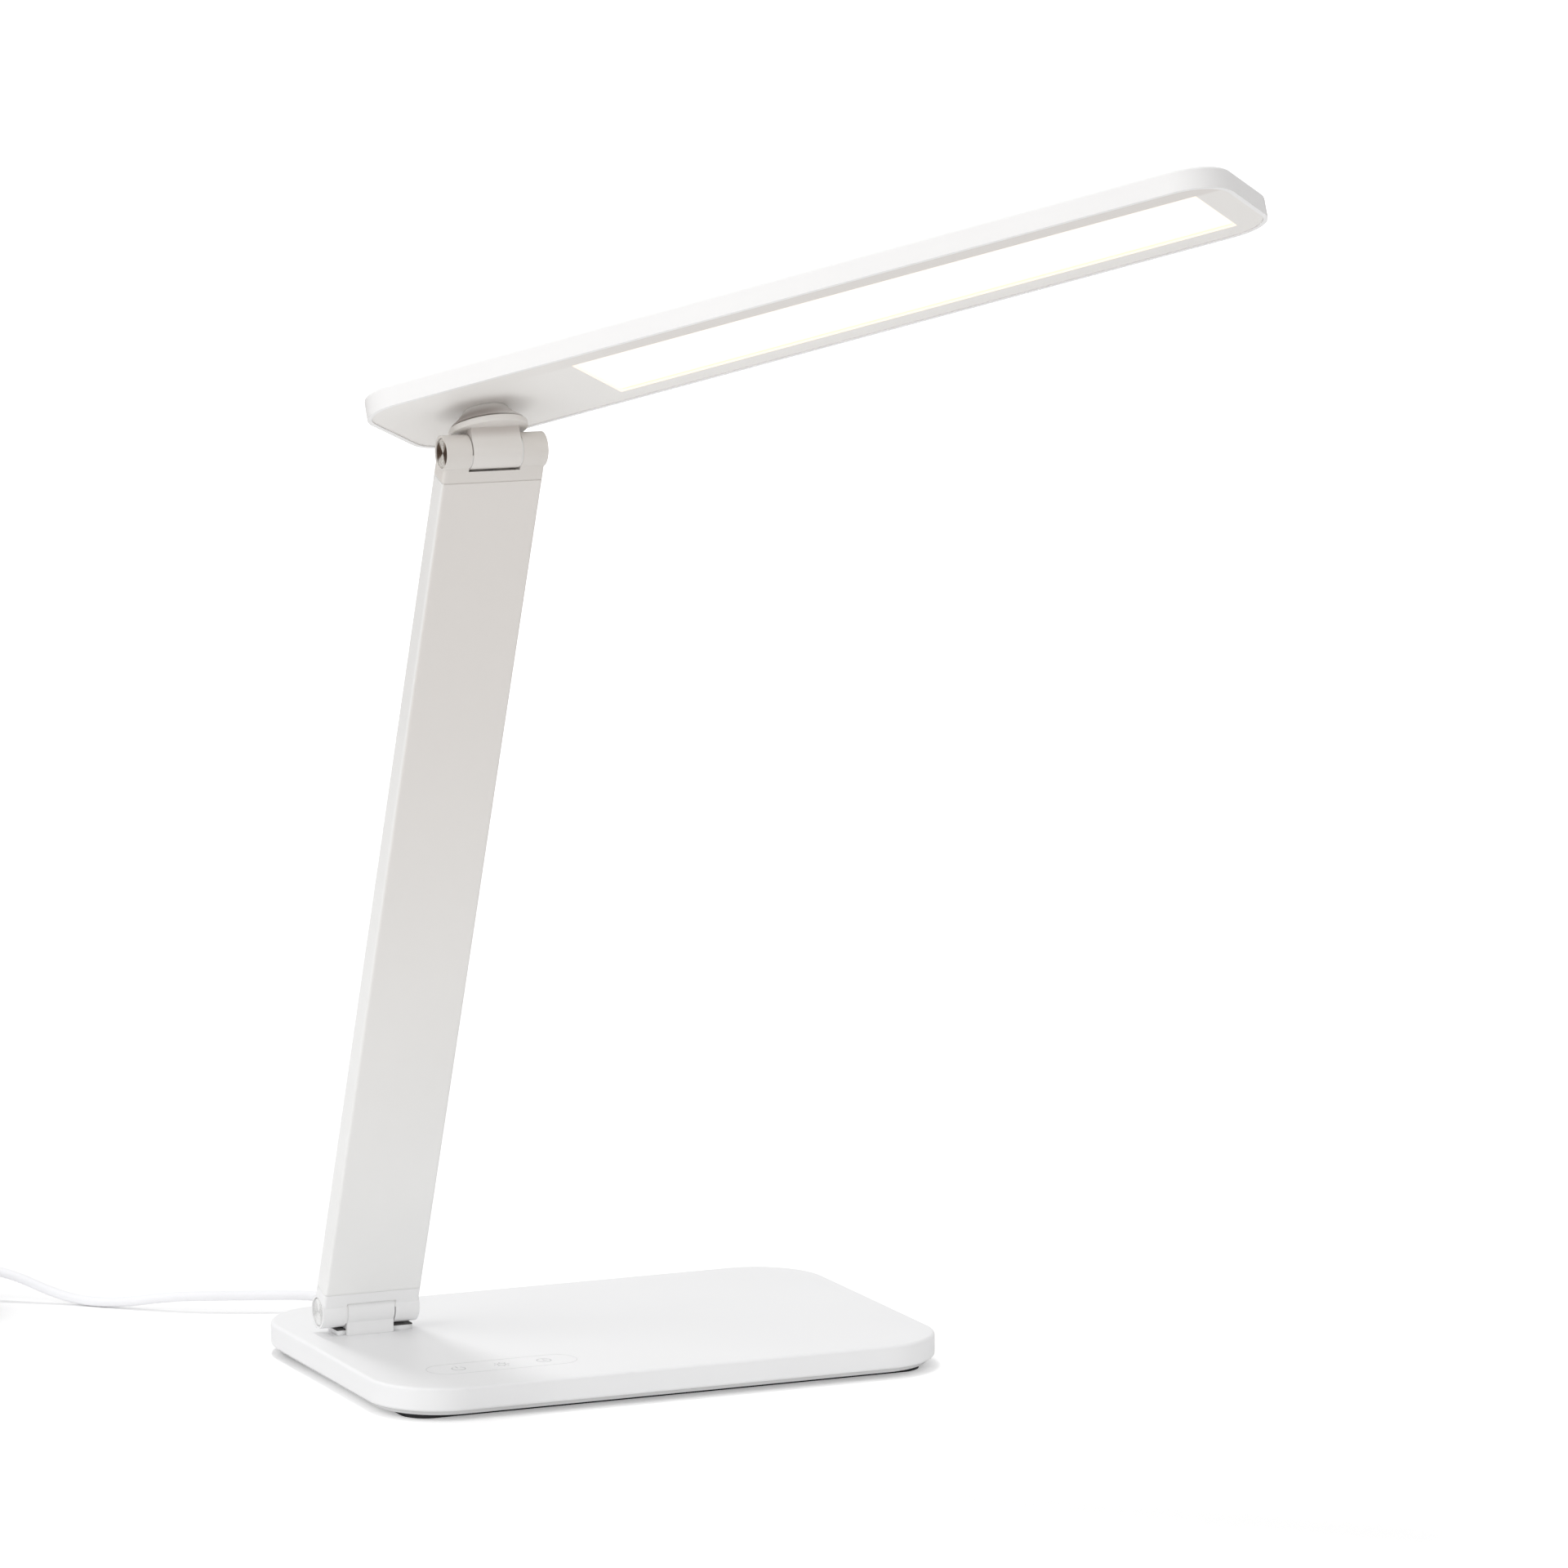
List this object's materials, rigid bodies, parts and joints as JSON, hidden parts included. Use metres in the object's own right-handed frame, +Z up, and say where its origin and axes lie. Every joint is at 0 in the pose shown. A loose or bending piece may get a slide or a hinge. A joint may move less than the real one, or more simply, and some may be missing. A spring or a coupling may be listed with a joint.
{
  "type": "folding led desk lamp",
  "caption": "Folding desk lamp: weighted base with touch controls, flat arm on a friction hinge, long flat LED head that tilts and swivels.",
  "frame": {"origin": "on the surface the lamp stands on, under the middle of the base, on the foot pad", "axes": "+Z up; +X along the long side of the base, away from the hinge end; +Y to the back, where the cord leaves"},
  "size_m": [0.3084, 0.3958, 0.3699],
  "materials": {
    "white_shell": "satin",
    "white_frame": "satin",
    "white_plate": "matte",
    "white_tube": "satin",
    "white_casting": "satin",
    "foam_pad": "matte",
    "zinc_steel": "satin",
    "screw_steel": "satin",
    "turned_steel": "polished",
    "spring_wire": "satin",
    "circuit_board": "satin",
    "lead_cover": "satin",
    "cord_cover": "satin",
    "tie_plastic": "satin",
    "plug_plastic": "satin",
    "plug_metal": "satin",
    "opal_panel": "satin",
    "clear_acrylic": "gloss",
    "reflector_film": "satin",
    "bare_aluminium": "satin",
    "strip_board": "satin",
    "led_phosphor": "satin"
  },
  "bodies": {
    "base": {"base_shell": "white_shell", "base_plate": "white_plate", "anti_slip_pad": "foam_pad", "ballast_plate": "zinc_steel", "base_screws": "screw_steel", "control_board": "circuit_board", "board_screws": "screw_steel", "touch_springs": "spring_wire", "hinge_bracket": "white_casting", "bracket_screws": "screw_steel", "supply_lead": "lead_cover", "strain_relief": "cord_cover", "cord": "cord_cover", "cord_coil": "cord_cover", "cord_tie": "tie_plastic", "cord_tail": "cord_cover", "plug_body": "plug_plastic", "plug_shell": "plug_metal"},
    "arm": {"arm_tube": "white_tube", "lower_end": "white_casting", "upper_end": "white_casting", "lower_pin": "turned_steel", "upper_pin": "turned_steel", "lower_nut": "screw_steel", "upper_nut": "screw_steel", "lower_washers": "screw_steel", "upper_washers": "screw_steel", "arm_lead": "lead_cover"},
    "neck": {"swivel_neck": "white_casting", "swivel_washers": "screw_steel", "swivel_nut": "screw_steel"},
    "head": {"head_shell": "white_shell", "head_frame": "white_frame", "diffuser": "opal_panel", "light_guide": "clear_acrylic", "reflector": "reflector_film", "heat_spreader": "bare_aluminium", "led_strips": "strip_board", "leds": "led_phosphor", "head_leads": "lead_cover"}
  },
  "joints": [
    {"name": "arm_tilt", "type": "hinge", "parent": "base", "child": "arm", "pos_m": [-0.0675, 0.0205, 0.0172], "axis": [1, 0, 0], "range_deg": [-35.9, 69.1]},
    {"name": "head_tilt", "type": "hinge", "parent": "arm", "child": "neck", "pos_m": [-0.0675, -0.08117, 0.28345], "axis": [1, 0, 0], "range_deg": [-45.3, 74.7]},
    {"name": "head_swivel", "type": "hinge", "parent": "neck", "child": "head", "pos_m": [-0.0675, -0.07633, 0.29443], "axis": [0, 0.4035, 0.915], "range_deg": [-135, 135]}
  ]
}
